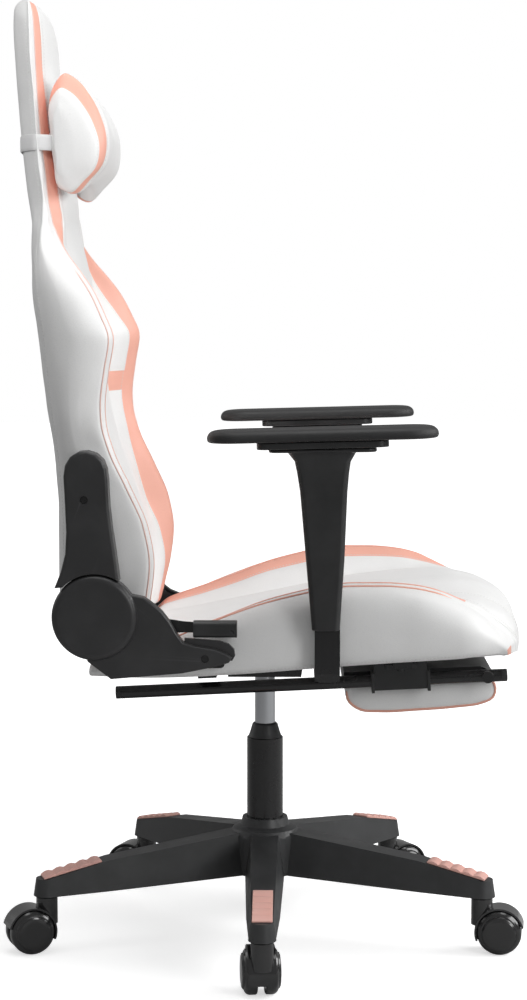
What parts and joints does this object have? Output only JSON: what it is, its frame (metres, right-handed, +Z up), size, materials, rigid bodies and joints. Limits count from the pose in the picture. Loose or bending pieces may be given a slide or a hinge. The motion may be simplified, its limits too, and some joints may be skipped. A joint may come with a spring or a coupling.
{
  "type": "gaming chair",
  "caption": "Racing-style swivel gaming chair with bucket seat, reclining winged back, head pillow, adjustable armrests, pull-out footrest and star base on twin-wheel casters.",
  "frame": {"origin": "on the floor under the gas lift's axis", "axes": "+Z up, the chair's front faces -Y, the sitter's left side is +X"},
  "size_m": [0.6545, 0.7068, 1.277],
  "materials": {
    "nylon_black": "satin moulded glass-filled nylon",
    "plastic_black": "fine textured moulding",
    "wheel_black": "glossy nylon",
    "grip_pink": "matte pink soft-touch plastic",
    "steel_black": "semi-gloss powder coat",
    "chrome": "polished",
    "zinc_steel": "zinc plated",
    "leather_white": "white and pink faux leather with fine grain",
    "elastic_white": "white woven elastic",
    "pad_black": "moulded polyurethane with fine grain"
  },
  "bodies": {
    "base": {"star_base": "nylon_black", "foot_grips": "grip_pink", "gas_lift_tube": "steel_black", "gas_lift_collar": "nylon_black"},
    "gas_rod": {"gas_lift_rod": "chrome"},
    "gas_valve": {"gas_lift_valve": "zinc_steel"},
    "seat": {"seat_plate": "steel_black", "seat_plate_bolts": "zinc_steel", "seat_frame": "steel_black", "seat_cushion": "leather_white", "recline_plate_lower_R": "steel_black", "recline_plate_lower_L": "steel_black", "recline_pins": "zinc_steel", "recline_springs": "zinc_steel", "hinge_cover_lower_R": "plastic_black", "hinge_cover_lower_L": "plastic_black", "hinge_screws_lower": "steel_black", "armrest_bracket_R": "steel_black", "armrest_bracket_L": "steel_black", "armrest_bolts": "zinc_steel", "armrest_post_R": "plastic_black", "armrest_post_L": "plastic_black", "footrest_sleeve_R": "plastic_black", "footrest_sleeve_L": "plastic_black", "footrest_bolts": "zinc_steel"},
    "lift_lever": {"lift_lever": "steel_black", "lift_lever_grip": "plastic_black"},
    "recline_lever": {"recline_lever": "steel_black", "recline_lever_grip": "plastic_black"},
    "armrest_swivel_R": {"armrest_plate_R": "plastic_black"},
    "armrest_slide_R": {"armrest_pad_R": "pad_black"},
    "armrest_swivel_L": {"armrest_plate_L": "plastic_black"},
    "armrest_slide_L": {"armrest_pad_L": "pad_black"},
    "footrest_slide": {"footrest_rail_R": "steel_black", "footrest_rail_L": "steel_black", "footrest_rail_caps": "plastic_black", "footrest_axle": "steel_black"},
    "footrest_pad": {"footrest_tray": "plastic_black", "footrest_cushion": "leather_white"},
    "backrest": {"back_frame": "steel_black", "back_cushion": "leather_white", "head_pillow": "leather_white", "pillow_strap": "elastic_white", "recline_plate_upper_R": "steel_black", "recline_plate_upper_L": "steel_black", "hinge_cover_upper_R": "plastic_black", "hinge_cover_upper_L": "plastic_black", "hinge_screws_upper": "steel_black"},
    "caster_1": {"caster_frame_1": "plastic_black"},
    "wheels_1": {"caster_wheels_1": "wheel_black"},
    "caster_2": {"caster_frame_2": "plastic_black"},
    "wheels_2": {"caster_wheels_2": "wheel_black"},
    "caster_3": {"caster_frame_3": "plastic_black"},
    "wheels_3": {"caster_wheels_3": "wheel_black"},
    "caster_4": {"caster_frame_4": "plastic_black"},
    "wheels_4": {"caster_wheels_4": "wheel_black"},
    "caster_5": {"caster_frame_5": "plastic_black"},
    "wheels_5": {"caster_wheels_5": "wheel_black"}
  },
  "joints": [
    {"name": "gas_lift", "type": "slide", "parent": "base", "child": "gas_rod", "axis": [0, 0, 1], "range_m": [-0.05, 0.05]},
    {"name": "gas_valve_press", "type": "slide", "parent": "gas_rod", "child": "gas_valve", "axis": [0, 0, -1], "range_m": [-0.0002, 0.0046]},
    {"name": "seat_swivel", "type": "hinge", "parent": "gas_rod", "child": "seat", "pos_m": [0, 0, 0.37], "axis": [0, 0, 1], "continuous": true},
    {"name": "lift_lever_pull", "type": "hinge", "parent": "seat", "child": "lift_lever", "pos_m": [0.05, 0, 0.39], "axis": [0, -1, 0], "range_deg": [0, 5], "stiffness_Nm_per_rad": 3, "springref_deg": -8.59},
    {"name": "recline", "type": "hinge", "parent": "seat", "child": "backrest", "pos_m": [0, 0.21, 0.483], "axis": [-1, 0, 0], "range_deg": [-5, 60]},
    {"name": "recline_lever_pull", "type": "hinge", "parent": "seat", "child": "recline_lever", "pos_m": [-0.275, 0.15, 0.472], "axis": [-1, 0, 0], "range_deg": [0, 20], "stiffness_Nm_per_rad": 1, "springref_deg": -22.92},
    {"name": "armrest_swivel_R", "type": "hinge", "parent": "seat", "child": "armrest_swivel_R", "pos_m": [-0.279, -0.076, 0.696], "axis": [0, 0.0262, 0.9997], "range_deg": [-30, 30]},
    {"name": "armrest_slide_R", "type": "slide", "parent": "armrest_swivel_R", "child": "armrest_slide_R", "axis": [0, -0.9997, 0.0262], "range_m": [-0.025, 0.025]},
    {"name": "armrest_swivel_L", "type": "hinge", "parent": "seat", "child": "armrest_swivel_L", "pos_m": [0.279, -0.076, 0.696], "axis": [0, 0.0262, 0.9997], "range_deg": [-30, 30]},
    {"name": "armrest_slide_L", "type": "slide", "parent": "armrest_swivel_L", "child": "armrest_slide_L", "axis": [0, -0.9997, 0.0262], "range_m": [-0.025, 0.025]},
    {"name": "footrest_pull", "type": "slide", "parent": "seat", "child": "footrest_slide", "axis": [0, -0.9989, 0.0476], "range_m": [0, 0.3]},
    {"name": "footrest_flip", "type": "hinge", "parent": "footrest_slide", "child": "footrest_pad", "pos_m": [0, -0.29267, 0.38945], "axis": [-1, 0, 0], "range_deg": [0, 180]},
    {"name": "caster_swivel_1", "type": "hinge", "parent": "base", "child": "caster_1", "pos_m": [-0.31, 0, 0.08], "axis": [0, 0, 1], "continuous": true},
    {"name": "wheel_roll_1", "type": "hinge", "parent": "caster_1", "child": "wheels_1", "pos_m": [-0.28613, 0.00251, 0.03], "axis": [-0.1045, 0.9945, 0], "continuous": true},
    {"name": "caster_swivel_2", "type": "hinge", "parent": "base", "child": "caster_2", "pos_m": [-0.0958, 0.29483, 0.08], "axis": [0, 0, 1], "continuous": true},
    {"name": "wheel_roll_2", "type": "hinge", "parent": "caster_2", "child": "wheels_2", "pos_m": [-0.10479, 0.31708, 0.03], "axis": [-0.9272, -0.3746, 0], "continuous": true},
    {"name": "caster_swivel_3", "type": "hinge", "parent": "base", "child": "caster_3", "pos_m": [0.25079, 0.18221, 0.08], "axis": [0, 0, 1], "continuous": true},
    {"name": "wheel_roll_3", "type": "hinge", "parent": "caster_3", "child": "wheels_3", "pos_m": [0.259, 0.20477, 0.03], "axis": [-0.9397, 0.342, 0], "continuous": true},
    {"name": "caster_swivel_4", "type": "hinge", "parent": "base", "child": "caster_4", "pos_m": [0.25079, -0.18221, 0.08], "axis": [0, 0, 1], "continuous": true},
    {"name": "wheel_roll_4", "type": "hinge", "parent": "caster_4", "child": "wheels_4", "pos_m": [0.26206, -0.2034, 0.03], "axis": [0.8829, 0.4695, 0], "continuous": true},
    {"name": "caster_swivel_5", "type": "hinge", "parent": "base", "child": "caster_5", "pos_m": [-0.0958, -0.29483, 0.08], "axis": [0, 0, 1], "continuous": true},
    {"name": "wheel_roll_5", "type": "hinge", "parent": "caster_5", "child": "wheels_5", "pos_m": [-0.09872, -0.31865, 0.03], "axis": [0.9925, -0.1219, 0], "continuous": true}
  ],
  "couplings": [
    {"joint": "gas_valve_press", "follows": "lift_lever_pull", "m_per_rad": 0.05},
    {"joint": "footrest_flip", "follows": "footrest_pull", "rad_per_m": 10.47}
  ]
}
